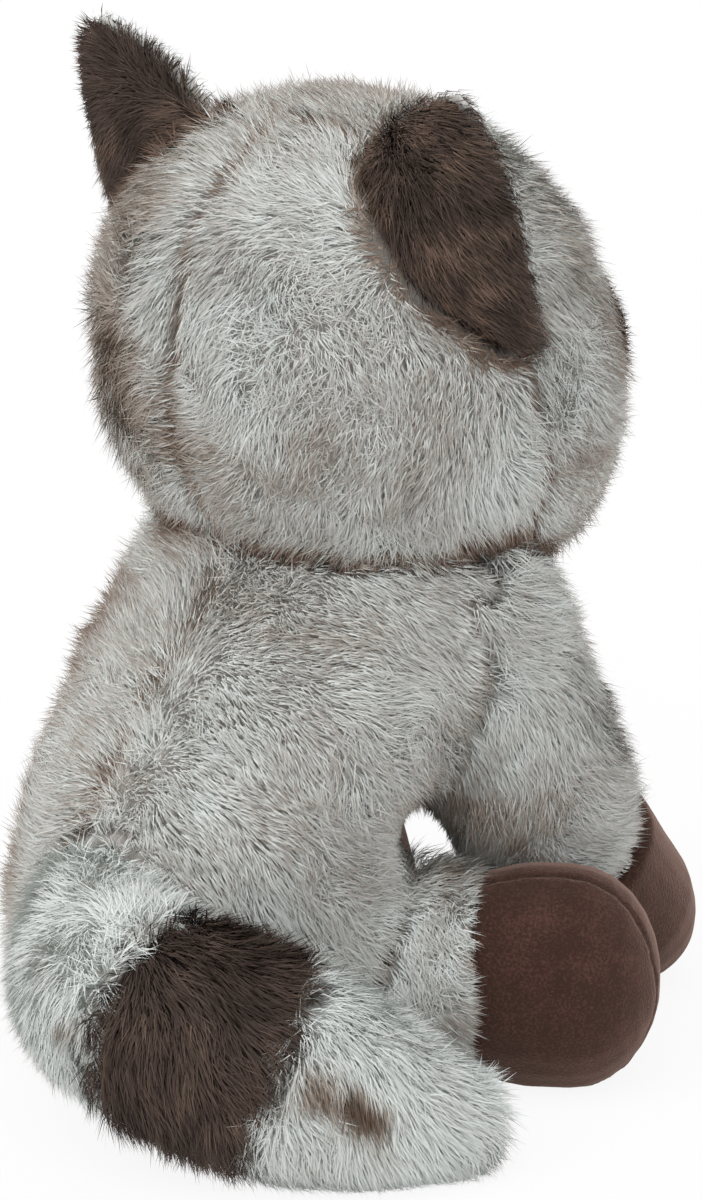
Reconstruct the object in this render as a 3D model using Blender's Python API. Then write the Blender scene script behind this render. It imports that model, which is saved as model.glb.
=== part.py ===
# Plush raccoon sitting with its hands on the ground and its tail curled round its right side.
# It faces -Y, +Z is up, its own right side is -X, and the origin is the middle of the flat seat.
# Sizes are in metres. A fur piece has the size of the dense part of its pile.

import math

import bmesh
import bpy
import numpy as np
from mathutils import Matrix, Vector

MM = 0.001

# Clearance between two sewn pieces
SEAM_GAP = 0.35 * MM

# Torso: a pear that leans forward
TORSO_HEIGHT = 182 * MM
TORSO_WIDTH = 132 * MM
TORSO_DEPTH = 116 * MM
TORSO_LEAN = 52 * MM

# Head
HEAD_WIDTH = 154 * MM
HEAD_DEPTH = 148 * MM
HEAD_HEIGHT = 142 * MM
HEAD_FORWARD = 61 * MM
NECK_DEPTH = 35 * MM
CHEEK_BULGE = 5 * MM
BROW_SLOPE = 26 * MM
CHIN_DROP = 25 * MM
HEAD_SQUARENESS = 2.3

# Face, with the directions from the head's centre to the muzzle and to the left eye
MUZZLE_WAY = (0, -1, -0.35)
EYE_WAY = (0.38, -1, 0.02)
MUZZLE_WIDTH = 52 * MM
MUZZLE_HEIGHT = 42 * MM
MUZZLE_LENGTH = 26 * MM
NOSE_WIDTH = 17 * MM
NOSE_HEIGHT = 12 * MM
EYE_DIAMETER = 14 * MM
MASK_WIDTH = 42 * MM
MASK_HEIGHT = 30 * MM
MASK_THICKNESS = 3 * MM

# Ears: directions from the head's centre to both ends of the left ear's base, and the way it stands
EAR_INNER_WAY = (0.44, 0.40, 0.80)
EAR_OUTER_WAY = (0.93, 0.15, 0.12)
EAR_UPRIGHT = (0.74, 0.12, 0.66)
EAR_BASE = 68 * MM
EAR_HEIGHT = 52 * MM
EAR_BACK_THICKNESS = 8 * MM
EAR_LINING_THICKNESS = 5 * MM
EAR_CUP = 13 * MM
EAR_BULGE = 5 * MM
EAR_TIP_WIDTH = 9 * MM
EAR_ROOT_DEPTH = 0.2

# Arms and hands
ARM_THICKNESS = 56 * MM
SHOULDER_SPAN = 88 * MM
SHOULDER_DROP = 40 * MM
RIGHT_WRIST_OUT = 38 * MM
RIGHT_WRIST_REACH = 69 * MM
LEFT_WRIST_OUT = 48 * MM
LEFT_WRIST_REACH = 39 * MM
WRIST_HEIGHT = 52 * MM
HAND_THICKNESS = 49 * MM
HAND_LENGTH = 65 * MM

# Legs and feet
LEG_THICKNESS = 66 * MM
LEG_LENGTH = 54 * MM
RIGHT_LEG_SPLAY = math.radians(50)
LEFT_LEG_SPLAY = math.radians(67)
HIP_SPAN = 42 * MM
HIP_FORWARD = 18 * MM
FOOT_LENGTH = 54 * MM
FOOT_HEIGHT = 69 * MM
FOOT_WIDTH = 58 * MM

# Tail: it lies round the seat, and its three sections meet at two cross-cuts
TAIL_WIDTH = 59 * MM
TAIL_HEIGHT = 65 * MM
TAIL_SPREAD = 59 * MM
TAIL_LIFT = 20 * MM
TAIL_BAND_START = 0.43
TAIL_BAND_END = 0.67

# How deep a soft piece is pressed flat where it rests on the ground
SAG = 2 * MM

SIDES = 24


def clear_scene():
    for obj in list(bpy.data.objects):
        bpy.data.objects.remove(obj, do_unlink=True)


def make_material(name, colour, roughness):
    material = bpy.data.materials.new(name)
    material.use_nodes = True
    shader = material.node_tree.nodes["Principled BSDF"]
    shader.inputs["Base Color"].default_value = (*colour, 1)
    shader.inputs["Roughness"].default_value = roughness
    shader.inputs["Metallic"].default_value = 0
    material.diffuse_color = (*colour, 1)
    return material


def new_object(name, bm, material):
    mesh = bpy.data.meshes.new(name)
    bm.to_mesh(mesh)
    bm.free()
    mesh.shade_smooth()
    mesh.materials.append(material)
    obj = bpy.data.objects.new(name, mesh)
    bpy.context.scene.collection.objects.link(obj)
    return obj


def grown(bm, distance):
    # The same closed surface pushed outwards along its normals
    copy = bm.copy()
    copy.normal_update()
    for vert, normal in [(vert, vert.normal.copy()) for vert in copy.verts]:
        vert.co += normal * distance
    return copy


def evaluated_bmesh(obj):
    bm = bmesh.new()
    bm.from_object(obj, bpy.context.evaluated_depsgraph_get())
    return bm


def combine(obj, other, operation):
    # The result replaces the object's mesh, and the other object is deleted.
    other.hide_render = True
    other.display_type = "WIRE"
    modifier = obj.modifiers.new(operation.title(), "BOOLEAN")
    modifier.operation = operation
    modifier.object = other
    bm = evaluated_bmesh(obj)
    obj.modifiers.remove(modifier)
    bm.to_mesh(obj.data)
    bm.free()
    bpy.data.objects.remove(other, do_unlink=True)


def make_room(obj, *neighbours):
    # Takes each neighbour's full shape, grown by the seam gap, out of the object
    for neighbour in neighbours:
        cutter = new_object(obj.name + "_cutter", grown(neighbour, SEAM_GAP), obj.data.materials[0])
        combine(obj, cutter, "DIFFERENCE")


def rest_on_ground(bm):
    # Removes what lies below the ground and closes the cut with one flat face
    if min(vert.co.z for vert in bm.verts) >= 0:
        return
    geometry = bm.verts[:] + bm.edges[:] + bm.faces[:]
    bmesh.ops.bisect_plane(bm, geom=geometry, plane_co=(0, 0, 0), plane_no=(0, 0, -1), clear_outer=True)
    rim = [edge for edge in bm.edges if edge.is_boundary]
    bmesh.ops.contextual_create(bm, geom=rim)


def smooth_course(rows, count):
    # Catmull-Rom curve through the rows, read at equal steps of its parameter
    rows = np.array(rows, float)
    padded = np.vstack([2 * rows[0] - rows[1], rows, 2 * rows[-1] - rows[-2]])
    place = np.linspace(0, len(rows) - 1, count)
    low = np.minimum(place.astype(int), len(rows) - 2)
    t = (place - low)[:, None]
    before, start, end, after = (padded[low + k] for k in range(4))
    slope_start = (end - before) / 2
    slope_end = (after - start) / 2
    rise = end - start
    return start + t * (slope_start + t * (3 * rise - 2 * slope_start - slope_end
                                           + t * (slope_start + slope_end - 2 * rise)))


def headings(course):
    # Direction of the course at each ring, evened over two rings each way so that no two rings cross
    steps = np.pad(np.gradient(course[:, :3], axis=0), ((2, 2), (0, 0)), mode="edge")
    along = sum(steps[k : k + len(course)] for k in range(5))
    return along / np.linalg.norm(along, axis=1)[:, None]


def rings_along(course, upright):
    # Course rows are x, y, z, half width and half height, and upright is the direction of the height
    centres = course[:, :3]
    along = headings(course)
    height = upright - (along @ upright)[:, None] * along
    height /= np.linalg.norm(height, axis=1)[:, None]
    width = np.cross(along, height)
    turn = np.linspace(0, 2 * math.pi, SIDES, endpoint=False)[None, :, None]
    return (centres[:, None] + np.cos(turn) * (width * course[:, 3:4])[:, None]
            + np.sin(turn) * (height * course[:, 4:5])[:, None])


def round_end(rings, length, steps=5):
    # Closes the last ring with a dome of the given length
    centre = rings[-1].mean(axis=0)
    along = centre - rings[-2].mean(axis=0)
    along /= np.linalg.norm(along)
    dome = []
    for step in range(1, steps + 1):
        angle = step / steps * math.radians(80)
        dome.append(centre + along * length * math.sin(angle) + (rings[-1] - centre) * math.cos(angle))
    return np.concatenate([rings, dome])


def loft(rings):
    bm = bmesh.new()
    loops = []
    for ring in rings:
        verts = [bm.verts.new(point) for point in ring]
        loops.append([bm.edges.new(pair) for pair in zip(verts, verts[1:] + verts[:1])])
    for near, far in zip(loops, loops[1:]):
        bmesh.ops.bridge_loops(bm, edges=near + far)
    for end in (loops[0], loops[-1]):
        bmesh.ops.contextual_create(bm, geom=end)
    bmesh.ops.recalc_face_normals(bm, faces=bm.faces[:])
    return bm


def ball(centre, size):
    # Ellipsoid with its full width, depth and height
    bm = bmesh.new()
    place = Matrix.Translation(centre) @ Matrix.Diagonal((*size, 1))
    bmesh.ops.create_uvsphere(bm, u_segments=SIDES, v_segments=12, radius=0.5, matrix=place)
    return bm


# Torso

# Height, forward lean, width and depth, each as a share of the full size
TORSO_PROFILE = (
    (0.000, 0.00, 0.66, 0.72),
    (0.025, 0.00, 0.79, 0.86),
    (0.090, 0.00, 0.88, 0.95),
    (0.220, 0.00, 0.92, 1.00),
    (0.385, 0.02, 0.90, 0.98),
    (0.510, 0.23, 0.93, 0.98),
    (0.690, 0.65, 1.00, 0.93),
    (0.780, 0.84, 0.97, 0.85),
    (0.880, 0.95, 0.91, 0.78),
    (0.950, 1.00, 0.72, 0.62),
    (1.000, 1.00, 0.40, 0.36),
)


def torso_at(height):
    # Centre line, half width and half depth of the torso at a height above the ground
    shares = np.array(TORSO_PROFILE)
    lean, width, depth = (np.interp(height / TORSO_HEIGHT, shares[:, 0], shares[:, k]) for k in (1, 2, 3))
    return Vector((0, -lean * TORSO_LEAN, height)), width * TORSO_WIDTH / 2, depth * TORSO_DEPTH / 2


def torso_shape():
    shares = smooth_course(TORSO_PROFILE, 20)
    turn = np.linspace(0, 2 * math.pi, SIDES + 4, endpoint=False)
    rings = [
        np.stack([
            np.cos(turn) * width * TORSO_WIDTH / 2,
            np.sin(turn) * depth * TORSO_DEPTH / 2 - lean * TORSO_LEAN,
            np.full_like(turn, height * TORSO_HEIGHT),
        ], axis=1)
        for height, lean, width, depth in shares
    ]
    return loft(rings)


# Head

def head_centre():
    return Vector((0, -HEAD_FORWARD, TORSO_HEIGHT - NECK_DEPTH + HEAD_HEIGHT / 2))


def head_surface(direction):
    # A slightly squared ball with a sloping brow, full cheeks and a low chin
    x, y, z = direction.normalized()
    reach = sum(abs(value) ** HEAD_SQUARENESS for value in (x, y, z)) ** (-1 / HEAD_SQUARENESS)
    front = max(0.0, -y)
    cheek = CHEEK_BULGE * max(0.0, 0.3 - z) * abs(x) * x
    brow = BROW_SLOPE * max(0.0, z + 0.35) * front
    chin = CHIN_DROP * max(0.0, -z) * front
    return head_centre() + Vector((
        x * reach * HEAD_WIDTH / 2 + cheek,
        y * reach * HEAD_DEPTH / 2 + brow,
        z * reach * HEAD_HEIGHT / 2 - chin,
    ))


def head_shape():
    bm = bmesh.new()
    bmesh.ops.create_uvsphere(bm, u_segments=SIDES + 8, v_segments=20, radius=1)
    for vert in bm.verts:
        vert.co = head_surface(vert.co)
    return bm


def muzzle_root():
    return head_surface(Vector(MUZZLE_WAY))


def muzzle_shape():
    return ball(muzzle_root(), (MUZZLE_WIDTH, 2 * MUZZLE_LENGTH, MUZZLE_HEIGHT))


def nose_shape():
    tip = muzzle_root() + Vector((0, -MUZZLE_LENGTH + NOSE_HEIGHT * 0.15, MUZZLE_HEIGHT * 0.12))
    return ball(tip, (NOSE_WIDTH, NOSE_HEIGHT, NOSE_HEIGHT))


def mirrored(way, side):
    return Vector((side * way[0], way[1], way[2]))


def make_mask(side, head, material):
    # A patch of even thickness cut from a larger copy of the head
    name = "eye_mask_left" if side > 0 else "eye_mask_right"
    mask = new_object(name, grown(head, MASK_THICKNESS), material)
    shift = Vector((side * MASK_WIDTH * 0.08, 0, -MASK_HEIGHT * 0.06))
    centre = head_surface(mirrored(EYE_WAY, side)) + shift
    window = new_object(name + "_window", ball(centre, (MASK_WIDTH, HEAD_DEPTH / 3, MASK_HEIGHT)), material)
    combine(mask, window, "INTERSECT")
    return mask


def eye_shape(side):
    centre = head_surface(mirrored(EYE_WAY, side)) + Vector((0, -MASK_THICKNESS, 0))
    return ball(centre, (EYE_DIAMETER,) * 3)


# Ears

def ear_frame(side):
    # The base runs over the head from the crown down to the side, and the ear stands up and out from it.
    inner = head_surface(mirrored(EAR_INNER_WAY, side))
    outer = head_surface(mirrored(EAR_OUTER_WAY, side))
    across = (outer - inner).normalized()
    up = mirrored(EAR_UPRIGHT, side)
    up = (up - up.dot(across) * across).normalized()
    return (inner + outer) / 2, across, up, side * across.cross(up)


def ear_point(side, u, rise, depth):
    # The inner edge stands straight up from the crown, and the outer edge slopes back to the base.
    middle, across, up, facing = ear_frame(side)
    height = max(rise, 0)
    width = (EAR_BASE - EAR_TIP_WIDTH) * (1 - height ** 1.45) ** 0.72 + EAR_TIP_WIDTH
    inner = -EAR_BASE / 2 - EAR_BULGE * math.sin(math.pi * height) + 0.04 * EAR_BASE * height
    place = inner + (width + EAR_BULGE * math.sin(math.pi * height)) * (u + 1) / 2
    cup = EAR_CUP * (u * u - 0.6) * (1 - height ** 2)
    thin = (1 - 0.55 * height ** 2) * (1 - 0.4 * u * u)
    return middle + across * place + up * (rise * EAR_HEIGHT) + facing * (cup + depth * thin)


def ear_layer(side, front, back):
    # A cupped leaf between two distances in front of the ear's middle surface
    columns = np.linspace(-1, 1, 11)
    rows = np.concatenate([[-EAR_ROOT_DEPTH], 1 - np.linspace(1, 0, 10) ** 1.4])
    bm = bmesh.new()
    faces = [
        [[bm.verts.new(ear_point(side, u, rise, depth)) for u in columns] for rise in rows]
        for depth in (front, back)
    ]
    rims = []
    for grid in faces:
        for low, high in zip(grid, grid[1:]):
            for k in range(len(columns) - 1):
                bm.faces.new((low[k], low[k + 1], high[k + 1], high[k]))
        right = [line[-1] for line in grid[1:-1]]
        left = [line[0] for line in grid[-2:0:-1]]
        rims.append(grid[0] + right + grid[-1][::-1] + left)
    near, far = rims
    for k in range(len(near)):
        bm.faces.new((near[k - 1], near[k], far[k], far[k - 1]))
    bmesh.ops.recalc_face_normals(bm, faces=bm.faces[:])
    return bm


# Arms and hands

# Inset from the shoulder as a share of the thickness, share of the way out and forward from the shoulder
# to the wrist, of the height between them, and of the thickness
ARM_COURSE = (
    (0.24, 0.00, 0.12, 1.16, 0.80),
    (0.00, 0.00, 0.25, 0.99, 1.00),
    (0.00, 0.02, 0.38, 0.79, 1.00),
    (0.00, 0.10, 0.51, 0.56, 1.04),
    (0.00, 0.40, 0.69, 0.26, 1.07),
    (0.00, 1.00, 1.00, 0.00, 0.92),
)


def arm_course(side):
    # From inside the shoulder down the sleeve to the wrist
    shoulder, _, _ = torso_at(TORSO_HEIGHT - SHOULDER_DROP)
    wrist_out = LEFT_WRIST_OUT if side > 0 else RIGHT_WRIST_OUT
    wrist_reach = LEFT_WRIST_REACH if side > 0 else RIGHT_WRIST_REACH
    rows = []
    for inset, out, reach, height, girth in ARM_COURSE:
        across = SHOULDER_SPAN / 2 - ARM_THICKNESS * inset + (wrist_out - SHOULDER_SPAN / 2) * out
        half = ARM_THICKNESS / 2 * girth
        rows.append((
            side * across,
            shoulder.y - wrist_reach * reach,
            WRIST_HEIGHT + (shoulder.z - WRIST_HEIGHT) * height,
            half,
            half,
        ))
    return smooth_course(rows, 14)


def arm_shape(side):
    return loft(rings_along(arm_course(side), np.array((1.0, 0, 0))))


def hand_shape(side):
    course = arm_course(side)
    wrist = rings_along(course, np.array((1.0, 0, 0)))[-1]
    along = course[-1, :3] - course[-2, :3]
    along /= np.linalg.norm(along)
    wrist = wrist + along * SEAM_GAP
    centre = wrist.mean(axis=0)
    palm = centre + (wrist - centre) * HAND_THICKNESS / (2 * course[-1, 3]) + along * HAND_LENGTH * 0.4
    bm = loft(round_end(np.stack([wrist, palm]), HAND_LENGTH * 0.6))
    rest_on_ground(bm)
    return bm


# Legs and feet

def leg_axis(side):
    splay = LEFT_LEG_SPLAY if side > 0 else RIGHT_LEG_SPLAY
    return Vector((side * math.sin(splay), -math.cos(splay), 0))


def leg_point(side, distance):
    # A point on the leg's centre line, at a distance from the hip
    hip = Vector((side * HIP_SPAN / 2, -HIP_FORWARD, FOOT_HEIGHT / 2 - SAG))
    return hip + leg_axis(side) * distance


def leg_shape(side):
    rows = []
    for distance, girth in ((0, 1.04), (LEG_LENGTH / 2, 1.04), (LEG_LENGTH, 0.94)):
        half = LEG_THICKNESS / 2 * girth
        rows.append((*leg_point(side, distance), half, half))
    bm = loft(rings_along(smooth_course(rows, 7), np.array((0, 0, 1.0))))
    rest_on_ground(bm)
    return bm


def foot_shape(side):
    rows = []
    for share, girth in ((0, 0.90), (0.25, 0.99), (0.5, 1.0)):
        point = leg_point(side, LEG_LENGTH + SEAM_GAP + FOOT_LENGTH * share)
        rows.append((*point, FOOT_WIDTH / 2 * girth, FOOT_HEIGHT / 2 * girth))
    rings = rings_along(smooth_course(rows, 6), np.array((0, 0, 1.0)))
    bm = loft(round_end(rings, FOOT_LENGTH / 2, steps=6))
    rest_on_ground(bm)
    return bm


# Tail

# Turn round the seat in degrees, then shares: of the spread beyond it, of the lift, the width and the height
TAIL_COURSE = (
    (94, -0.54, 1.00, 0.84, 1.10),
    (105, -0.14, 0.86, 0.92, 1.10),
    (114, 0.13, 0.86, 0.98, 1.00),
    (127, 0.40, 0.74, 1.00, 1.00),
    (142, 0.54, 0.40, 1.00, 1.01),
    (154, 0.62, 0.10, 0.98, 0.96),
    (167, 0.79, 0.00, 0.82, 0.74),
    (178, 0.90, 0.00, 0.58, 0.50),
)


def tail_course():
    # The tail leaves the back of the seat, comes down to the ground and lies round the right side.
    rows = []
    for turn, spread, lift, width, height in TAIL_COURSE:
        reach = TORSO_DEPTH / 2 + TAIL_SPREAD * spread
        turn = math.radians(turn)
        half_height = TAIL_HEIGHT / 2 * height
        rows.append((
            reach * math.cos(turn),
            reach * math.sin(turn),
            half_height - SAG + TAIL_LIFT * lift,
            TAIL_WIDTH / 2 * width,
            half_height,
        ))
    return smooth_course(rows, 31)


def tail_shapes():
    # The three sections in turn, each with flat ends at the cross-cuts
    course = tail_course()
    rings = rings_along(course, np.array((0, 0, 1.0)))
    along = headings(course)
    last = len(course) - 1
    cuts = [0, round(TAIL_BAND_START * last), round(TAIL_BAND_END * last), last]
    for start, end in zip(cuts, cuts[1:]):
        section = rings[start : end + 1].copy()
        if start > 0:
            section[0] += along[start] * SEAM_GAP / 2
        if end < last:
            section[-1] -= along[end] * SEAM_GAP / 2
        else:
            section = round_end(section, course[-1, 3] * 0.8)
        bm = loft(section)
        rest_on_ground(bm)
        yield bm


def main():
    clear_scene()
    pale_fur = make_material("pale fur", (0.52, 0.52, 0.49), 0.9)
    dark_fur = make_material("dark fur", (0.045, 0.032, 0.027), 0.9)
    velour = make_material("velour", (0.085, 0.035, 0.028), 0.7)
    black_plastic = make_material("black plastic", (0.01, 0.01, 0.01), 0.15)

    head = head_shape()
    torso = torso_shape()
    muzzle = muzzle_shape()
    new_object("head", head.copy(), pale_fur)
    make_room(new_object("torso", torso.copy(), pale_fur), head)
    make_room(new_object("muzzle", muzzle.copy(), pale_fur), head)
    make_room(new_object("nose", nose_shape(), black_plastic), muzzle, head)

    for side, name in ((1, "_left"), (-1, "_right")):
        mask = make_mask(side, head, dark_fur)
        make_room(mask, head, muzzle)
        eye = new_object("eye" + name, eye_shape(side), black_plastic)
        make_room(eye, grown(head, MASK_THICKNESS))
        back = new_object("ear" + name, ear_layer(side, 0, -EAR_BACK_THICKNESS), dark_fur)
        lining_bm = ear_layer(side, EAR_LINING_THICKNESS, 2 * SEAM_GAP)
        lining = new_object("ear_lining" + name, lining_bm, pale_fur)
        make_room(back, head)
        make_room(lining, head)

    legs = {}
    for side, name in ((1, "_left"), (-1, "_right")):
        arm = arm_shape(side)
        hand = hand_shape(side)
        legs[side] = leg_shape(side)
        make_room(new_object("arm" + name, arm.copy(), pale_fur), torso, head)
        new_object("hand" + name, hand.copy(), velour)
        make_room(new_object("leg" + name, legs[side].copy(), pale_fur), torso, arm, hand)
        make_room(new_object("foot" + name, foot_shape(side), velour), arm, hand)
    for name, shape, material in zip(
        ("tail_root", "tail_band", "tail_tip"), tail_shapes(), (pale_fur, dark_fur, pale_fur)
    ):
        make_room(new_object(name, shape, material), torso, legs[-1])


main()
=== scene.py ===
import math

import bmesh
import bpy
import numpy as np
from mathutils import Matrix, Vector


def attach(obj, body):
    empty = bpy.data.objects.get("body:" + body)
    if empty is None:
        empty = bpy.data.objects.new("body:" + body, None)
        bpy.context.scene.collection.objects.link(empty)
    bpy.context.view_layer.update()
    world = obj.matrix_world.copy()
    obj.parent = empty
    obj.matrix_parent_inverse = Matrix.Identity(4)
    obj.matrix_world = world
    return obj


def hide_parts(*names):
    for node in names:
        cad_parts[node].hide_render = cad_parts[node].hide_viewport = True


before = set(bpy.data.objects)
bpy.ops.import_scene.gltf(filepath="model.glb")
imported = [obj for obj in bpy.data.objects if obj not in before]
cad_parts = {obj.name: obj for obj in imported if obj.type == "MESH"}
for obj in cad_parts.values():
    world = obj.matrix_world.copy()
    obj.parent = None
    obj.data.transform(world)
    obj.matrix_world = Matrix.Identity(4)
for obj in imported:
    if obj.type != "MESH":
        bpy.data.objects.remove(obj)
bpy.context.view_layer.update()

mm = 0.001
print("frame:", len(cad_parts), "nodes")


# Camera, floor and light

cameraLook = {
    "azimuth": 228.0,  # degrees round the toy, 0 is straight in front of its face
    "elevation": 16.6,
    "distance": 1.774,
    "target": (-0.014, -0.044, 0.140),
    "lens": 177.45,
}

lightLook = {
    "sunStrength": 1.75,
    "sunTilt": (40, 0, 205),
    "sunSoftness": 70,
    "skyStrength": 0.66,
    "floorColour": (0.93, 0.93, 0.93),
    "floorGlow": 0.90,  # how far the floor is lifted to the white of the backdrop
    "floorHalf": 4.0,  # metres from the middle of the floor to its edge
}


def addCamera(look):
    turn = math.radians(look["azimuth"])
    rise = math.radians(look["elevation"])
    back = Vector((math.sin(turn) * math.cos(rise), -math.cos(turn) * math.cos(rise), math.sin(rise)))
    data = bpy.data.cameras.new("camera")
    data.lens = look["lens"]
    data.sensor_width = 36
    camera = bpy.data.objects.new("camera", data)
    bpy.context.scene.collection.objects.link(camera)
    camera.location = Vector(look["target"]) + back * look["distance"]
    camera.rotation_euler = back.to_track_quat("Z", "Y").to_euler()
    bpy.context.scene.camera = camera


def seenDirectly(nodes, links):
    # 1 for camera, glossy and transmission rays, and 0 for the light that falls on the toy
    path = nodes.new("ShaderNodeLightPath")
    found = path.outputs["Is Camera Ray"]
    for name in ("Is Glossy Ray", "Is Transmission Ray"):
        either = nodes.new("ShaderNodeMath")
        either.operation = "MAXIMUM"
        links.new(found, either.inputs[0])
        links.new(path.outputs[name], either.inputs[1])
        found = either.outputs[0]
    return found


def addSun(look):
    sun = bpy.data.lights.new("sun", "SUN")
    sun.energy = look["sunStrength"]
    sun.angle = math.radians(look["sunSoftness"])
    lamp = bpy.data.objects.new("sun", sun)
    lamp.rotation_euler = [math.radians(angle) for angle in look["sunTilt"]]
    bpy.context.scene.collection.objects.link(lamp)


def addSky(look):
    world = bpy.data.worlds.new("sky")
    world.use_nodes = True
    bpy.context.scene.world = world
    nodes, links = world.node_tree.nodes, world.node_tree.links
    strength = nodes.new("ShaderNodeMapRange")
    strength.inputs["To Min"].default_value = look["skyStrength"]
    strength.inputs["To Max"].default_value = 1.0
    links.new(seenDirectly(nodes, links), strength.inputs["Value"])
    nodes["Background"].inputs["Color"].default_value = (1, 1, 1, 1)
    links.new(strength.outputs["Result"], nodes["Background"].inputs["Strength"])


def addFloor(look):
    half = look["floorHalf"]
    corners = [(-half, -half, 0), (half, -half, 0), (half, half, 0), (-half, half, 0)]
    mesh = bpy.data.meshes.new("floor")
    mesh.from_pydata(corners, [], [(0, 1, 2, 3)])
    floor = bpy.data.objects.new("floor", mesh)
    bpy.context.scene.collection.objects.link(floor)
    material = bpy.data.materials.new("floor")
    material.use_nodes = True
    nodes, links = material.node_tree.nodes, material.node_tree.links
    shader = nodes["Principled BSDF"]
    shader.inputs["Base Color"].default_value = (*look["floorColour"], 1)
    shader.inputs["Roughness"].default_value = 0.9
    glow = nodes.new("ShaderNodeEmission")
    glow.inputs["Strength"].default_value = 1.0
    share = nodes.new("ShaderNodeMath")
    share.operation = "MULTIPLY"
    share.inputs[1].default_value = look["floorGlow"]
    blend = nodes.new("ShaderNodeMixShader")
    links.new(seenDirectly(nodes, links), share.inputs[0])
    links.new(share.outputs[0], blend.inputs["Fac"])
    links.new(shader.outputs["BSDF"], blend.inputs[1])
    links.new(glow.outputs["Emission"], blend.inputs[2])
    links.new(blend.outputs["Shader"], nodes["Material Output"].inputs["Surface"])
    mesh.materials.append(material)


bpy.context.scene.view_settings.view_transform = "Standard"
addCamera(cameraLook)
addSun(lightLook)
addSky(lightLook)
addFloor(lightLook)
print("camera, floor and light placed")


# Noise on a lattice, for whole arrays of points

def stirred(cells, seed):
    # A cell's three whole numbers mixed into one value from 0 to 1
    x, y, z = (cells[..., k].astype(np.uint32) for k in range(3))
    mixed = x * np.uint32(374761393) + y * np.uint32(668265263) + z * np.uint32(3266489917)
    mixed = mixed + np.uint32(seed * 97531 + 12345)
    mixed = (mixed ^ (mixed >> np.uint32(13))) * np.uint32(1274126177)
    mixed = (mixed ^ (mixed >> np.uint32(15))) * np.uint32(2246822519)
    mixed = mixed ^ (mixed >> np.uint32(16))
    return mixed.astype(np.float64) / 4294967296.0


def noise(points, size, seed):
    # Values at the corners of a grid of the given size, blended by 3t^2 - 2t^3: from -1 to 1
    place = points / size + 1000
    low = np.floor(place)
    t = place - low
    t = t * t * (3 - 2 * t)
    total = np.zeros(points.shape[:-1])
    for corner in np.ndindex(2, 2, 2):
        corner = np.array(corner)
        share = np.prod(np.where(corner == 1, t, 1 - t), axis=-1)
        total += share * stirred((low + corner).astype(np.int64), seed)
    return total * 2 - 1


def noiseVector(points, size, seed):
    return np.stack([noise(points, size, seed + k) for k in range(3)], axis=-1)


def unit(vectors):
    length = np.linalg.norm(vectors, axis=-1, keepdims=True)
    return vectors / np.maximum(length, 1e-12)


# Covers: each follows its CAD solid

# Nothing that is added reaches below these heights, and no strand is rooted below the last
heights = {"cover": 0.4 * mm, "tip": 0.5 * mm, "middle": 0.7 * mm, "root": 1.5 * mm}


def meshArrays(mesh):
    places = np.empty(len(mesh.vertices) * 3, np.float32)
    mesh.vertices.foreach_get("co", places)
    normals = np.empty(len(mesh.vertices) * 3, np.float32)
    mesh.vertices.foreach_get("normal", normals)
    mesh.calc_loop_triangles()
    corners = np.empty(len(mesh.loop_triangles) * 3, np.int32)
    mesh.loop_triangles.foreach_get("vertices", corners)
    return places.reshape(-1, 3).astype(float), normals.reshape(-1, 3).astype(float), corners.reshape(-1, 3)


def moveTo(piece, places):
    places[:, 2] = np.maximum(places[:, 2], heights["cover"])
    piece.data.vertices.foreach_set("co", places.astype(np.float32).ravel())
    piece.data.update()


def coverOf(node, look):
    # The CAD solid as one voxel surface, evened out, then drawn in along its normals by
    # inset * (1 - down * low): down goes from 0 to 1 as the normal turns to the ground,
    # and low from 1 to 0 over the first 5 mm of height
    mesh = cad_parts[node].data.copy()
    bm = bmesh.new()
    bm.from_mesh(mesh)
    bmesh.ops.remove_doubles(bm, verts=bm.verts, dist=1e-5)
    bm.to_mesh(mesh)
    bm.free()
    cover = bpy.data.objects.new(node + "_cover", mesh)
    bpy.context.scene.collection.objects.link(cover)
    remesh = cover.modifiers.new("voxels", "REMESH")
    remesh.mode = "VOXEL"
    remesh.voxel_size = look["voxel"]
    even = cover.modifiers.new("even", "SMOOTH")
    even.factor = 0.5
    even.iterations = look["evening"]
    graph = bpy.context.evaluated_depsgraph_get()
    made = bpy.data.meshes.new_from_object(cover.evaluated_get(graph))
    cover.modifiers.clear()
    cover.data = made
    bpy.data.meshes.remove(mesh)
    made.materials.clear()
    made.shade_smooth()
    places, normals, _ = meshArrays(made)
    down = np.clip((-normals[:, 2] - 0.5) / 0.4, 0, 1)
    low = np.clip(1 - places[:, 2] / (5 * mm), 0, 1)
    moveTo(cover, places - normals * (look["inset"] * (1 - down * low))[:, None])
    return cover


def freeHeight(points, normals, others, reach):
    # Distance to the nearest point of the other covers less their own inset, over the cosine between it and
    # the normal; with no normals, the plain distance
    most, block = 2500, 500  # points kept of each other cover, and points asked at a time
    flattest = 0.12  # least cosine that the distance is divided by
    room = np.full(len(points), reach * 4)
    for other, inset in others:
        places = meshArrays(other.data)[0]
        near = ((points > places.min(axis=0) - reach) & (points < places.max(axis=0) + reach)).all(axis=1)
        low, high = points.min(axis=0) - reach, points.max(axis=0) + reach
        places = places[((places > low) & (places < high)).all(axis=1)]
        if not near.any() or not len(places):
            continue
        places = places[:: max(1, len(places) // most)].astype(np.float32)
        squares = (places ** 2).sum(axis=1)
        asked = points[near]
        nearest = np.concatenate([
            (squares - 2 * asked[start : start + block].astype(np.float32) @ places.T).argmin(axis=1)
            for start in range(0, len(asked), block)
        ])
        gap = places[nearest] - asked
        far = np.linalg.norm(gap, axis=1)
        facing = 1 if normals is None else (gap * normals[near]).sum(axis=1) / np.maximum(far, 1e-6)
        room[near] = np.minimum(room[near], np.maximum(far - inset, 0) / np.clip(facing, flattest, 1))
    return room


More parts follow.
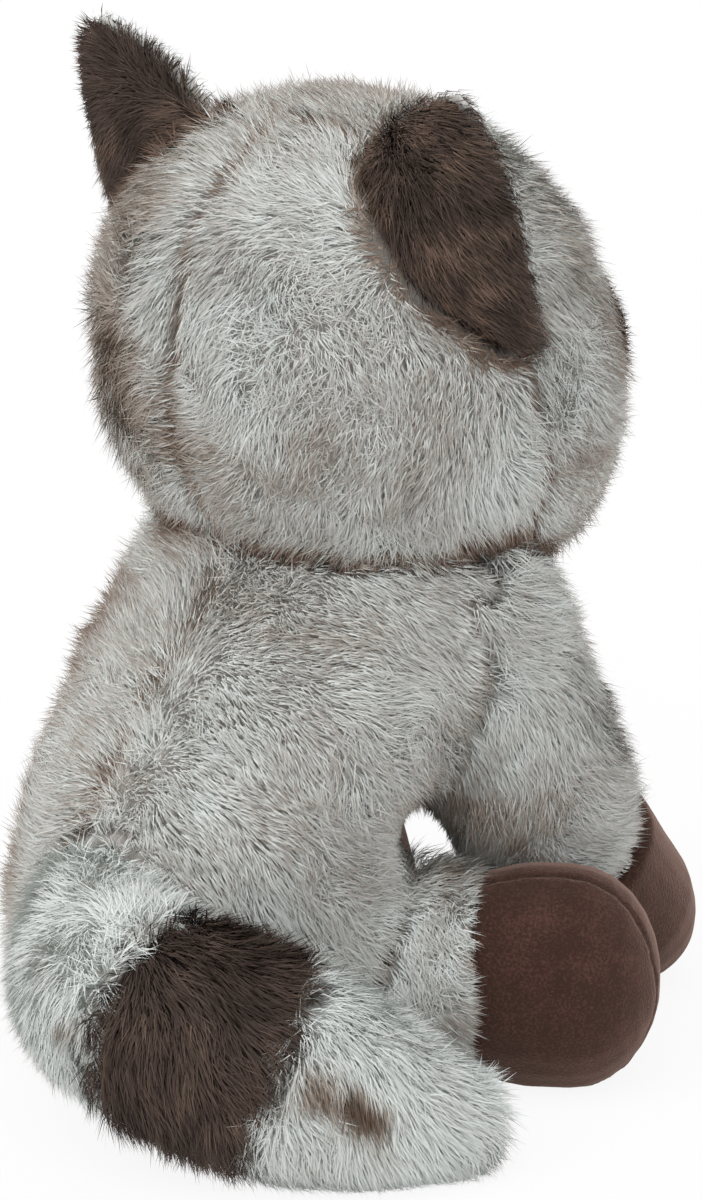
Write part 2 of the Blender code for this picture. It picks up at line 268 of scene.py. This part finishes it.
# Pile: every strand is a slim kite of two faces, bent at its widest place

def strandMesh(name, roots, middles, tips, sides, widths, tints, shading):
    # Per strand: root, two middle points set apart along the side vector, and tip
    count = len(roots)
    half = sides * widths[:, None] / 2
    places = np.empty((count, 4, 3), np.float32)
    places[:, 0] = roots
    places[:, 1] = middles - half
    places[:, 2] = middles + half
    places[:, 3] = tips
    corners = (np.arange(count)[:, None] * 4 + np.array([0, 2, 1, 1, 2, 3])).ravel().astype(np.int32)
    mesh = bpy.data.meshes.new(name)
    mesh.vertices.add(count * 4)
    mesh.vertices.foreach_set("co", places.ravel())
    mesh.loops.add(count * 6)
    mesh.loops.foreach_set("vertex_index", corners)
    mesh.polygons.add(count * 2)
    mesh.polygons.foreach_set("loop_start", np.arange(0, count * 6, 3, dtype=np.int32))
    mesh.update(calc_edges=True)
    mesh.shade_smooth()
    columns = 32
    column = (np.floor(np.clip(tints, 0, 0.999) * columns) + 0.5) / columns
    uv = np.empty((count, 4, 2), np.float32)
    uv[:, :, 0] = column[:, None] + np.array([0.0, -0.38, 0.38, 0.0]) / columns
    uv[:, :, 1] = (0.02, 0.5, 0.5, 0.98)
    layer = mesh.uv_layers.new(name="OFBake")
    layer.data.foreach_set("uv", uv.reshape(-1, 2)[corners].ravel())
    mesh.normals_split_custom_set_from_vertices(np.repeat(shading, 4, axis=0).astype(np.float32))
    return mesh


def pile(cover, look, room, trim, seed):
    # Roots spread by area over the cover; each strand leaves along the normal, then bends to
    # the lie of the pile
    chance = np.random.default_rng(seed)
    places, normals, corners = meshArrays(cover.data)
    crease = look["inset"] + look["clear"]
    a, b, c = (places[corners[:, k]] for k in range(3))
    area = np.linalg.norm(np.cross(b - a, c - a), axis=1) / 2
    shown = room[corners].mean(axis=1) > crease
    shown &= places[corners][:, :, 2].mean(axis=1) > heights["root"]
    if "keep" in look:
        shown &= look["keep"](normals[corners].mean(axis=1))
    weight = area * shown
    count = int(min(weight.sum() * look["density"] / mm ** 2, look["most"]))
    pick = chance.choice(len(corners), size=count, p=weight / weight.sum())
    u, v = chance.random((2, count))
    flip = u + v > 1
    u[flip], v[flip] = 1 - u[flip], 1 - v[flip]
    shares = np.stack([1 - u - v, u, v], axis=1)
    roots = (places[corners[pick]] * shares[:, :, None]).sum(axis=1)
    normal = unit((normals[corners[pick]] * shares[:, :, None]).sum(axis=1))
    space = (room[corners[pick]] * shares).sum(axis=1)
    beside = (trim[corners[pick]] * shares).sum(axis=1)

    # Lie of the pile: the main flow, wide swirls, small tufts and single strays
    lie = unit(look["flow"](roots)) * look["order"]
    lie += noiseVector(roots, look["swirlSize"], seed + 1) * look["swirl"]
    lie += noiseVector(roots, look["tuftSize"], seed + 5) * look["tuft"]
    lie += chance.normal(size=(count, 3)) * look["stray"]
    strength = np.linalg.norm(lie - normal * (lie * normal).sum(axis=1, keepdims=True), axis=1)
    tangent = unit(lie - normal * (lie * normal).sum(axis=1, keepdims=True))
    lean = math.radians(look["lean"]) * np.clip(0.75 + 0.27 * strength, 0.7, 1.3)
    lean += noise(roots, look["tuftSize"] * 1.7, seed + 9) * look["leanWave"]
    lean += chance.normal(size=count) * look["leanSpread"]
    share = 1 + look["lengthWave"] * noise(roots, look["lengthWaveSize"], seed + 11)
    share += look["lengthSpread"] * chance.normal(size=count)
    length = look["length"] * np.clip(share, look["shortest"], look["longest"])
    highest = look["inset"] + 0.75 * np.maximum(space - look["inset"], 0) + 1 * mm
    length = np.minimum(length, highest / math.cos(math.radians(look["lean"])))
    length *= np.clip(beside / look["trimOver"], look["trimLeast"], 1)
    if "opening" in look:
        spot, way, radius = look["opening"]
        off = np.linalg.norm(np.cross(roots - np.array(spot), np.array(way)), axis=1)
        length *= np.clip((off - radius * 0.6) / radius, 0.22, 1)

    low = lean * look["rootLean"]
    high = lean * look["tipLean"]
    rising = normal * np.cos(low)[:, None] + tangent * np.sin(low)[:, None]
    falling = normal * np.cos(high)[:, None] + tangent * np.sin(high)[:, None]
    middles = roots + rising * (length * look["bend"])[:, None]
    tips = middles + falling * (length * (1 - look["bend"]))[:, None]

    # Tufts: tips draw together towards the nearest of a loose set of centres
    best = np.full(count, np.inf)
    centre = roots.copy()
    cell = np.floor(roots / look["tuftGap"]).astype(np.int64)
    for step in np.ndindex(3, 3, 3):
        near = cell + np.array(step) - 1
        spot = np.stack([stirred(near + 5000, seed + 31 + k) for k in range(3)], axis=1)
        spot = (near + spot) * look["tuftGap"]
        gap = ((roots - spot) ** 2).sum(axis=1)
        closer = gap < best
        best = np.where(closer, gap, best)
        centre = np.where(closer[:, None], spot, centre)
    pull = centre - roots
    pull -= normal * (pull * normal).sum(axis=1, keepdims=True)
    tips += pull * look["gather"]
    middles += pull * look["gather"] * 0.35

    # Seams part the pile: strands beside one are shorter and tinted browner as painted shade, and those
    # that would cross it are turned back
    partingShade = np.zeros(count)
    for seam in look.get("seams", ()):
        plane = np.array(seam["normal"])
        wave = noise(roots, 14 * mm, seed + 21) * 0.8 * mm
        height = (roots - np.array(seam["point"])) @ plane + wave
        side = np.sign(height)
        where = seam["where"](roots) * (chance.random(count) < seam["share"])
        near = np.exp(-(height / (0.55 * seam["width"])) ** 2) * where
        partingShade = np.maximum(partingShade, near)
        for points, clear in ((middles, 0.5), (tips, 1.0)):
            over = (points - np.array(seam["point"])) @ plane + wave
            back = np.maximum(seam["width"] * 0.4 * clear - over * side, 0) * side * where
            points += plane * back[:, None] * (0.6 + 0.4 * clear)
        middles -= normal * (near * length * 0.16)[:, None]
        tips -= normal * (near * length * 0.34)[:, None]
    middles[:, 2] = np.maximum(middles[:, 2], heights["middle"])
    tips[:, 2] = np.maximum(tips[:, 2], heights["tip"])

    # The blade's side lies across the strand and is turned at random about it
    way = unit(tips - roots)
    side = unit(np.cross(way, normal))
    twist = chance.normal(size=count) * look["twist"]
    side = side * np.cos(twist)[:, None] + np.cross(way, side) * np.sin(twist)[:, None]
    widths = look["width"] * (0.75 + 0.5 * chance.random(count))

    tint = look["tint"] + look["mottle"] * noise(roots, look["mottleSize"], seed + 41)
    tint += look["fleck"] * noise(roots, look["tuftGap"] * 1.6, seed + 45)
    tint += look["speckle"] * (chance.random(count) - 0.5)
    # Strands beside a seam are tinted browner: painted shade in the parting, partly the darker fur beneath
    # it
    tint += 0.9 * partingShade
    # Strands near a joint with another piece are tinted browner: painted shade in the crease, partly the
    # brown tips that gather there
    shade = np.clip(1 - (space - crease) / look["creaseReach"], 0, 1)
    tint += look["creaseShadeTint"] * look["creaseShadeWhere"](roots) * shade
    for spot, radius, amount in look.get("patches", ()):
        far = np.linalg.norm(roots - np.array(spot), axis=1) / radius
        far += 0.35 * noise(roots, 6 * mm, seed + 51)
        tint += amount * np.clip(1.3 - far, 0, 1)
    blade = unit(np.cross(side, way))
    shading = unit(normal * 0.9 + blade * 0.22)
    name = cover.name.replace("_cover", "_pile")
    return strandMesh(name, roots, middles, tips, side, widths, tint, shading)


# Materials

def newMaterial(name, roughness, specular):
    material = bpy.data.materials.new(name)
    material.use_nodes = True
    shader = material.node_tree.nodes["Principled BSDF"]
    shader.inputs["Roughness"].default_value = roughness
    shader.inputs["Specular IOR Level"].default_value = specular
    return material, shader, material.node_tree.nodes, material.node_tree.links


def ramp(nodes, stops):
    node = nodes.new("ShaderNodeValToRGB")
    elements = node.color_ramp.elements
    while len(elements) < len(stops):
        elements.new(0.5)
    for element, (place, colour) in zip(elements, stops):
        element.position = place
        element.color = (*colour, 1)
    return node


def grey(value):
    return (value, value, value)


def blended(nodes, links, factor, first, second):
    # The colour between two others, each of them a socket or a plain colour
    node = nodes.new("ShaderNodeMix")
    node.data_type = "RGBA"
    links.new(factor, node.inputs["Factor"])
    for name, colour in (("A", first), ("B", second)):
        if isinstance(colour, tuple):
            node.inputs[name].default_value = (*colour, 1)
        else:
            links.new(colour, node.inputs[name])
    return node.outputs["Result"]


def pileMaterial(name, look):
    # u of the map picks the strand's tint, and v runs from its root to its tip
    material, shader, nodes, links = newMaterial(name, look["roughness"], look["specular"])
    uv = nodes.new("ShaderNodeUVMap")
    uv.uv_map = "OFBake"
    split = nodes.new("ShaderNodeSeparateXYZ")
    links.new(uv.outputs["UV"], split.inputs["Vector"])
    shaft = ramp(nodes, look["shaft"])
    links.new(split.outputs["X"], shaft.inputs["Fac"])
    tip = ramp(nodes, look["tip"])
    links.new(split.outputs["X"], tip.inputs["Fac"])
    rooted = ramp(nodes, [(0.0, grey(1)), (look["rootEnd"], grey(0))])
    links.new(split.outputs["Y"], rooted.inputs["Fac"])
    tipped = ramp(nodes, [(look["tipStart"], grey(0)), (look["tipEnd"], grey(1))])
    links.new(split.outputs["Y"], tipped.inputs["Fac"])
    amount = ramp(nodes, look["tipAmount"])
    links.new(split.outputs["X"], amount.inputs["Fac"])
    both = nodes.new("ShaderNodeMath")
    both.operation = "MULTIPLY"
    links.new(tipped.outputs["Color"], both.inputs[0])
    links.new(amount.outputs["Color"], both.inputs[1])
    withTip = blended(nodes, links, both.outputs[0], shaft.outputs["Color"], tip.outputs["Color"])
    withRoot = blended(nodes, links, rooted.outputs["Color"], withTip, look["root"])
    links.new(withRoot, shader.inputs["Base Color"])
    return material


def groundMaterial(name, look):
    # The knitted ground under the pile: two tones mottled, with painted shade in the creases, where the
    # crease attribute blends it to the crease colour, and a fine bump
    material, shader, nodes, links = newMaterial(name, 0.9, 0.2)
    place = nodes.new("ShaderNodeTexCoord")
    mottle = nodes.new("ShaderNodeTexNoise")
    mottle.inputs["Scale"].default_value = look["scale"]
    mottle.inputs["Detail"].default_value = 6
    tones = ramp(nodes, [(0.35, look["dark"]), (0.65, look["light"])])
    bump = nodes.new("ShaderNodeBump")
    bump.inputs["Strength"].default_value = 0.6
    bump.inputs["Distance"].default_value = 0.4 * mm
    links.new(place.outputs["Object"], mottle.inputs["Vector"])
    links.new(mottle.outputs["Fac"], tones.inputs["Fac"])
    crease = nodes.new("ShaderNodeAttribute")
    crease.attribute_name = "crease"
    shaded = blended(nodes, links, crease.outputs["Fac"], tones.outputs["Color"], look["crease"])
    links.new(shaded, shader.inputs["Base Color"])
    links.new(mottle.outputs["Fac"], bump.inputs["Height"])
    links.new(bump.outputs["Normal"], shader.inputs["Normal"])
    return material


paleFur = {
    "roughness": 0.75,
    "specular": 0.14,
    "root": (0.56, 0.54, 0.51),
    "rootEnd": 0.35,
    "shaft": [
        (0.0, (0.77, 0.81, 0.79)), (0.45, (0.73, 0.75, 0.72)),
        (0.75, (0.50, 0.43, 0.37)), (1.0, (0.17, 0.11, 0.08)),
    ],
    "tip": [(0.0, (0.52, 0.46, 0.41)), (0.4, (0.28, 0.21, 0.165)), (1.0, (0.10, 0.062, 0.044))],
    "tipAmount": [(0.0, grey(0.1)), (0.25, grey(0.5)), (0.5, grey(0.95)), (1.0, grey(1))],
    "tipStart": 0.55,
    "tipEnd": 0.84,
}

whiteFur = dict(
    paleFur,
    root=(0.62, 0.62, 0.59),
    shaft=[
        (0.0, (0.80, 0.84, 0.82)), (0.5, (0.76, 0.78, 0.75)),
        (0.8, (0.36, 0.28, 0.22)), (1.0, (0.12, 0.078, 0.055)),
    ],
    tipAmount=[(0.0, grey(0.0)), (0.4, grey(0.15)), (0.7, grey(0.8)), (1.0, grey(1))],
)

darkFur = {
    "roughness": 0.65,
    "specular": 0.15,
    "root": (0.034, 0.024, 0.019),
    "rootEnd": 0.45,
    "shaft": [
        (0.0, (0.17, 0.108, 0.080)), (0.25, (0.092, 0.064, 0.050)),
        (0.5, (0.060, 0.041, 0.033)), (1.0, (0.028, 0.019, 0.015)),
    ],
    "tip": [
        (0.0, (0.27, 0.175, 0.130)), (0.25, (0.155, 0.108, 0.084)),
        (0.5, (0.102, 0.070, 0.055)), (1.0, (0.042, 0.028, 0.022)),
    ],
    "tipAmount": [(0.0, grey(0.8)), (1.0, grey(0.8))],
    "tipStart": 0.3,
    "tipEnd": 0.95,
}

# Each ground's crease colour is painted shade, taken deep in a crease
paleGround = {
    "scale": 260,
    "dark": (0.36, 0.33, 0.30),
    "light": (0.52, 0.49, 0.46),
    "crease": (0.09, 0.06, 0.045),
}
whiteGround = {
    "scale": 260,
    "dark": (0.50, 0.49, 0.46),
    "light": (0.66, 0.66, 0.63),
    "crease": (0.16, 0.12, 0.10),
}
darkGround = {
    "scale": 260,
    "dark": (0.024, 0.017, 0.014),
    "light": (0.050, 0.036, 0.029),
    "crease": (0.016, 0.011, 0.009),
}

materials = {
    "pale": (pileMaterial("pale pile", paleFur), groundMaterial("pale ground", paleGround)),
    "white": (pileMaterial("white pile", whiteFur), groundMaterial("white ground", whiteGround)),
    "dark": (pileMaterial("dark pile", darkFur), groundMaterial("dark ground", darkGround)),
}
print("materials made:", len(bpy.data.materials))


# Lie of the pile on each piece

def fromPoint(x, y, z):
    origin = np.array((x, y, z)) * mm
    return lambda points: points - origin


def along(x, y, z):
    way = np.array((x, y, z), float)
    return lambda points: np.broadcast_to(way, points.shape).copy()


def roundTheSeat(points):
    # On the tail: along it towards its tip, and down
    return np.stack([-points[:, 1], points[:, 0], np.full(len(points), -0.12)], axis=1)


def backOnly(points):
    return 1.0 / (1 + np.exp(-(points[:, 1] + 0.030) / (4 * mm)))


def everywhere(points):
    return np.ones(len(points))


def partedBack(points):
    # Down the middle of the back, and from there round to the front and down
    side = np.clip(points[:, 0] / (22 * mm), -1, 1)
    return np.stack([side, np.full(len(points), -0.85), np.full(len(points), -0.6)], axis=1)


def facingForward(normals):
    return normals[:, 1] < -0.3


def outAndDown(points):
    # On the ears: forwards, outwards and down, turning level over the last 40 mm below the tip
    side = np.sign(points[:, 0])
    tip = np.clip((points[:, 2] - 0.264) / 0.040, 0, 1)
    return np.stack([side * 0.67, np.full(len(points), -0.74), -0.7 + 0.9 * tip], axis=1)


def belowTheNose(points):
    return (points[:, 2] < 0.198) * 1.0


# Weight of the painted crease shade on the body: mostly above the neck line and within 45 mm of the middle
def mostlyAtTheNeck(points):
    height = 1 / (1 + np.exp(-(points[:, 2] - 0.142) / (3 * mm)))
    middle = 1 / (1 + np.exp((np.abs(points[:, 0]) - 0.045) / (3 * mm)))
    return 0.05 + 0.95 * height * middle


def patch(x, y, z, radius, amount):
    return ((x * mm, y * mm, z * mm), radius * mm, amount)


basePile = {
    "voxel": 3.2 * mm,
    "evening": 6,
    "inset": 4.4 * mm,
    "density": 2.7,
    "most": 92000,
    "length": 11.0 * mm,
    "width": 0.35 * mm,
    "lean": 54,
    "order": 0.75,
    "swirl": 0.75,
    "swirlSize": 34 * mm,
    "tuft": 0.48,
    "tuftSize": 9 * mm,
    "stray": 0.17,
    "leanWave": 0.22,
    "leanSpread": 0.12,
    "lengthWave": 0.13,
    "lengthWaveSize": 9 * mm,
    "lengthSpread": 0.16,
    "shortest": 0.45,  # shares of the length
    "longest": 1.45,
    "rootLean": 0.45,  # shares of the lean below and above the bend
    "tipLean": 1.22,
    "bend": 0.48,  # share of the length where a strand bends
    "twist": 0.5,
    "tuftGap": 3.6 * mm,
    "gather": 0.24,
    "clear": 1.8 * mm,  # no strand where another piece faces this one nearer than this
    # The next three set the painted shade in creases: how much strands and ground near a joint are
    # darkened, where, and the distance it fades over, which also sets how far a cover comes back out to its
    # solid
    "creaseShadeTint": 0.5,
    "creaseShadeWhere": everywhere,
    "creaseReach": 7 * mm,
    "trimOver": 8 * mm,  # strands grow to full length over this distance from a hand or foot
    "trimLeast": 0.4,
    "tint": 0.33,
    "mottle": 0.20,
    "mottleSize": 24 * mm,
    "fleck": 0.12,
    "speckle": 0.24,
    "fill": 0.85,
    "finish": "pale",
}

# A seam runs where its plane cuts the cover; share is how many of the strands beside it it parts
centreSeam = {
    "point": (0, 0, 0),
    "normal": (1, 0, 0),
    "width": 4.2 * mm,
    "share": 0.93,
    "where": backOnly,
}
faintCentreSeam = dict(centreSeam, share=0.6)
muzzleSeam = dict(centreSeam, width=2.6 * mm, share=1, where=belowTheNose)
earToEarSeam = {
    "point": (0, -0.0365, 0.287),
    "normal": (0, 0.959, -0.283),
    "width": 3.4 * mm,
    "share": 0.9,
    "where": everywhere,
}

# The pile is cropped round the opening between the right arm, the thigh and the body:
# a point in it, the way through it, and the radius
opening = ((-0.0439, -0.0449, 0.0729), (0.6953, -0.6418, -0.3235), 11 * mm)

headLook = dict(
    basePile,
    flow=fromPoint(-10, -50, 262),
    density=1.75,
    creaseShadeTint=0.9,
    seams=[centreSeam, earToEarSeam],
    patches=[
        # back and crown
        patch(-48, -5, 240, 30, -0.16), patch(-16, 5, 253, 12, 0.28), patch(-2, 10, 195, 18, 0.34),
        patch(36, 6, 214, 26, 0.44), patch(42, -18, 258, 26, 0.34), patch(-50, -3, 198, 14, 0.18),
        patch(-75, -77, 190, 13, 0.34), patch(0, -60, 288, 26, 0.24), patch(-68, -95, 240, 22, 0.2),
        # dark bridge of the nose, pale brows and pale cheeks
        patch(0, -130, 221, 9, 0.5), patch(0, -116, 246, 10, 0.45), patch(0, -104, 262, 10, 0.3),
        patch(25, -118, 244, 13, -0.4), patch(-25, -118, 244, 13, -0.4),
        patch(44, -108, 192, 18, -0.35), patch(-44, -108, 192, 18, -0.35),
    ],
)
torsoLook = dict(
    basePile,
    flow=partedBack,
    tint=0.29,
    clear=0.4 * mm,
    creaseShadeTint=1.0,
    creaseShadeWhere=mostlyAtTheNeck,
    opening=opening,
    seams=[faintCentreSeam],
    patches=[
        patch(50, -4, 130, 22, 0.44), patch(49, 22, 100, 20, 0.38), patch(38, 44, 62, 20, 0.36),
        patch(21, -9, 162, 14, 0.45), patch(-64, -31, 113, 12, 0.16), patch(-52, 4, 118, 10, 0.14),
        # patch(-58, -50, 85) darkens the body beside the opening: painted shade
        patch(-58, -50, 85, 16, 0.45), patch(-20, 20, 125, 18, -0.12),
    ],
)
armLook = dict(
    basePile,
    flow=along(-0.2, -0.95, -0.85),
    density=2.1,
    tint=0.25,
    clear=0.4 * mm,
    creaseShadeTint=0.0,
    trimOver=17 * mm,
    trimLeast=0.2,
    opening=opening,
    # These patches darken the lower arm beside the opening: painted shade
    patches=[patch(-67, -71, 81, 13, 0.24), patch(-47, -55, 78, 17, 0.42), patch(-60, -72, 62, 12, 0.35)],
)
legLook = dict(
    basePile,
    flow=fromPoint(0, 25, 75),
    lean=60,
    tint=0.12,
    creaseShadeTint=0.2,
    trimOver=6 * mm,
    patches=[
        # patch(-55, -45, 65) darkens the thigh beside the opening: painted shade
        patch(-55, -45, 65, 13, 0.6), patch(-79, -31, 46, 6, 0.55),
        patch(-79, -26, 31, 6, 0.5), patch(-68, -27, 56, 9, 0.25),
    ],
)
tailRootLook = dict(
    basePile,
    finish="white",
    flow=roundTheSeat,
    density=2.3,
    length=10 * mm,
    stray=0.12,
    swirl=0.5,
    tint=0.12,
    mottle=0.22,
    creaseShadeTint=0.15,
    patches=[patch(-45, 94, 49, 6, 0.7), patch(-26, 88, 58, 9, 0.35), patch(-20, 82, 24, 12, 0.5)],
)
tailBandLook = dict(
    basePile,
    finish="dark",
    flow=roundTheSeat,
    density=2.3,
    swirl=0.45,
    tint=0.52,
    mottle=0.2,
    mottleSize=16 * mm,
    speckle=0.5,
    fleck=0.24,
)
tailTipLook = dict(
    basePile,
    finish="white",
    flow=roundTheSeat,
    density=2.3,
    tint=0.20,
    mottle=0.20,
    creaseShadeTint=0.1,
    patches=[
        patch(-106, 55, 42, 8, 0.35), patch(-112, 51, 36, 9, 0.8),
        patch(-117, 46, 30, 9, 0.7), patch(-121, 40, 24, 8, 0.3),
    ],
)
earLook = dict(
    basePile,
    finish="dark",
    flow=outAndDown,
    voxel=1.6 * mm,
    evening=2,
    inset=1.6 * mm,
    density=4.2,
    length=8 * mm,
    width=0.30 * mm,
    lean=66,
    order=1.1,
    swirl=0.45,
    tuft=0.4,
    clear=0.9 * mm,
    creaseShadeTint=0.1,
    tint=0.43,
    mottle=0.3,
    mottleSize=14 * mm,
    speckle=0.62,
    fleck=0.3,
)
liningLook = dict(
    basePile,
    finish="white",
    flow=along(0, -0.2, -1),
    keep=facingForward,
    voxel=1.5 * mm,
    evening=2,
    inset=0.2 * mm,
    density=2.6,
    length=4.4 * mm,
    width=0.30 * mm,
    lean=62,
    clear=0.5 * mm,
    creaseShadeTint=0,
    tint=0.12,
    mottle=0.1,
    speckle=0.2,
)
muzzleLook = dict(
    basePile,
    finish="white",
    flow=fromPoint(0, -150, 200),
    voxel=2 * mm,
    inset=1.5 * mm,
    density=2.8,
    length=6 * mm,
    width=0.30 * mm,
    lean=55,
    creaseShadeTint=0.1,
    tint=0.15,
    mottle=0.1,
    speckle=0.25,
    seams=[muzzleSeam],
)
maskLook = dict(
    basePile,
    finish="dark",
    flow=fromPoint(0, -150, 200),
    voxel=1.3 * mm,
    evening=2,
    inset=0.4 * mm,
    density=3.4,
    length=6.5 * mm,
    width=0.30 * mm,
    lean=58,
    clear=0.8 * mm,
    creaseShadeTint=0,
    tint=0.4,
)

furPieces = {
    "head": headLook,
    "torso": torsoLook,
    "arm_left": armLook,
    "arm_right": armLook,
    "leg_left": legLook,
    "leg_right": legLook,
    "tail_root": tailRootLook,
    "tail_band": tailBandLook,
    "tail_tip": tailTipLook,
    # Painted shade: the left ear's pile is tinted browner than the right's, as it takes more light
    "ear_left": dict(earLook, tint=0.55),
    "ear_right": earLook,
    "ear_lining_left": liningLook,
    "ear_lining_right": liningLook,
    "muzzle": muzzleLook,
    "eye_mask_left": maskLook,
    "eye_mask_right": maskLook,
}


def seat(piece, node):
    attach(piece, "root")
    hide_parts(node)


covers = {node: coverOf(node, look) for node, look in furPieces.items()}
print("covers made:", len(covers))

# Hands and feet: short velour over a full, round form with a seam down the middle

velourLook = {
    "voxel": 1.2 * mm,
    "evening": 6,
    "inset": 0.0,
    "nap": {"hand_right": 1.8 * mm},  # thickness added to a piece
    "seamDepth": 0.9 * mm,
    "seamWidth": 0.9 * mm,
    "seamShift": 6 * mm,  # how far the seam lies to the outer side of the middle
    "colour": (0.040, 0.0190, 0.0140),
    "worn": (0.100, 0.047, 0.036),
    "thread": (0.014, 0.007, 0.006),
    "napScale": 95,
    "grainScale": 1200,
    "grainDepth": 0.3 * mm,
    "pucker": 0.35 * mm,
    "puckerWidth": 4 * mm,
    "swell": 0.5 * mm,
    "fill": 0.95,
}


def velourMaterial(look):
    # Nap: broad soft patches where it lies another way, over a fine grain that also drives the bump
    material, shader, nodes, links = newMaterial("velour", 0.85, 0.1)
    shader.inputs["Sheen Weight"].default_value = 0.5
    shader.inputs["Sheen Roughness"].default_value = 0.45
    shader.inputs["Sheen Tint"].default_value = (0.9, 0.62, 0.52, 1)
    place = nodes.new("ShaderNodeTexCoord")
    nap = nodes.new("ShaderNodeTexNoise")
    nap.inputs["Scale"].default_value = look["napScale"]
    nap.inputs["Detail"].default_value = 3
    grain = nodes.new("ShaderNodeTexNoise")
    grain.inputs["Scale"].default_value = look["grainScale"]
    grain.inputs["Detail"].default_value = 4
    share = nodes.new("ShaderNodeMath")
    share.operation = "MULTIPLY_ADD"
    share.inputs[1].default_value = 2.6
    bump = nodes.new("ShaderNodeBump")
    bump.inputs["Strength"].default_value = 1.0
    bump.inputs["Distance"].default_value = look["grainDepth"]
    links.new(place.outputs["Object"], nap.inputs["Vector"])
    links.new(place.outputs["Object"], grain.inputs["Vector"])
    links.new(grain.outputs["Fac"], share.inputs[0])
    napShare = nodes.new("ShaderNodeMapRange")
    napShare.inputs["From Min"].default_value = 0.35
    napShare.inputs["From Max"].default_value = 0.7
    napShare.inputs["To Min"].default_value = -1.34
    napShare.inputs["To Max"].default_value = -0.84
    links.new(nap.outputs["Fac"], napShare.inputs["Value"])
    links.new(napShare.outputs["Result"], share.inputs[2])
    tone = blended(nodes, links, share.outputs[0], look["colour"], look["worn"])
    seam = nodes.new("ShaderNodeAttribute")
    seam.attribute_name = "seam"
    sewn = blended(nodes, links, seam.outputs["Fac"], tone, look["thread"])
    links.new(sewn, shader.inputs["Base Color"])
    links.new(grain.outputs["Fac"], bump.inputs["Height"])
    links.new(bump.outputs["Normal"], shader.inputs["Normal"])
    return material


velour = velourMaterial(velourLook)


def velourPiece(node, carrier):
    # Moved in along the normals by a bell curve of the distance to the seam's plane, with small
    # puckers beside it. The plane is upright, along the foot or hand, and set to the outer side
    # by the shift.
    look = velourLook
    piece = coverOf(node, look)
    places, normals, _ = meshArrays(piece.data)
    middle = places.mean(axis=0)
    way = middle - meshArrays(covers[carrier].data)[0].mean(axis=0)
    way[2] = 0 if node.startswith("foot") else way[2]
    across = unit(np.cross(way, (0, 0, 1.0)))
    outer = -1 if node.endswith("left") else 1
    apart = (places - middle) @ across - outer * look["seamShift"]
    bell = np.exp(-(apart / look["seamWidth"]) ** 2)
    groove = bell * look["seamDepth"]
    pucker = noise(places, 3.5 * mm, 3) * np.exp(-(apart / look["puckerWidth"]) ** 2) * look["pucker"]
    swell = noise(places, 16 * mm, 7) * look["swell"] + look["nap"].get(node, 0)
    moveTo(piece, places - normals * (groove - pucker - swell)[:, None])
    seam = piece.data.attributes.new("seam", "FLOAT", "POINT")
    seam.data.foreach_set("value", (0.65 * bell).astype(np.float32))
    piece.data.materials.append(velour)
    return piece


carriers = {
    "foot_left": "leg_left",
    "foot_right": "leg_right",
    "hand_left": "arm_left",
    "hand_right": "arm_right",
}
velourPieces = {}
for node, carrier in carriers.items():
    velourPieces[node] = velourPiece(node, carrier)
    seat(velourPieces[node], node)
print("hands and feet made")

# Rooms first, from the drawn-in covers; then each cover comes back out to its solid where
# another faces it

reach = 18 * mm  # how far another piece is looked for


def roomOf(node):
    places, normals, _ = meshArrays(covers[node].data)
    others = [(cover, furPieces[name]["inset"]) for name, cover in covers.items() if name != node]
    others += [(piece, 0.0) for piece in velourPieces.values()]
    return freeHeight(places, normals, others, reach)


def backOut(node, room):
    # Out along the normals by inset * (1 - t), where t is the room beyond the inset over the reach
    cover, look = covers[node], furPieces[node]
    places, normals, _ = meshArrays(cover.data)
    t = np.clip((room - look["inset"]) / look["creaseReach"], 0, 1)
    moveTo(cover, places + normals * (look["inset"] * (1 - t))[:, None])
    # The crease attribute carries painted shade into the ground near a joint
    crease = cover.data.attributes.new("crease", "FLOAT", "POINT")
    amount = (1 - t) * look["creaseShadeWhere"](places) * look["creaseShadeTint"]
    crease.data.foreach_set("value", amount.astype(np.float32))


rooms = {node: roomOf(node) for node in covers}
for node, room in rooms.items():
    backOut(node, room)
print("covers meet at the joints")

strandCount = 0
bare = [(piece, 0.0) for piece in velourPieces.values()]
for number, (node, look) in enumerate(furPieces.items()):
    cover = covers[node]
    trim = freeHeight(meshArrays(cover.data)[0], None, bare, reach)
    mesh = pile(cover, look, rooms[node], trim, 100 * number + 7)
    piece = bpy.data.objects.new(node + "_pile", mesh)
    bpy.context.scene.collection.objects.link(piece)
    pileFinish, groundFinish = materials[look["finish"]]
    mesh.materials.append(pileFinish)
    cover.data.materials.append(groundFinish)
    seat(cover, node)
    seat(piece, node)
    strandCount += len(mesh.polygons) // 2
    print("pile on", node, len(mesh.polygons) // 2, "strands")
coverFaces = sum(len(meshArrays(piece.data)[2]) for piece in (*covers.values(), *velourPieces.values()))
print("strands in all:", strandCount, "and triangles added in all:", strandCount * 2 + coverFaces)


# Nose and eyes keep their solids and get a moulded gloss

glossLook = {"colour": (0.012, 0.010, 0.009), "roughness": 0.12, "ripple": 0.05 * mm}


def glossMaterial(look):
    material, shader, nodes, links = newMaterial("moulded black", look["roughness"], 0.2)
    shader.inputs["Base Color"].default_value = (*look["colour"], 1)
    place = nodes.new("ShaderNodeTexCoord")
    ripple = nodes.new("ShaderNodeTexNoise")
    ripple.inputs["Scale"].default_value = 900
    bump = nodes.new("ShaderNodeBump")
    bump.inputs["Strength"].default_value = 0.15
    bump.inputs["Distance"].default_value = look["ripple"]
    links.new(place.outputs["Object"], ripple.inputs["Vector"])
    links.new(ripple.outputs["Fac"], bump.inputs["Height"])
    links.new(bump.outputs["Normal"], shader.inputs["Normal"])
    return material


gloss = glossMaterial(glossLook)
for node in ("nose", "eye_left", "eye_right"):
    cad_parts[node].material_slots[0].material = gloss
print("nose and eyes finished")
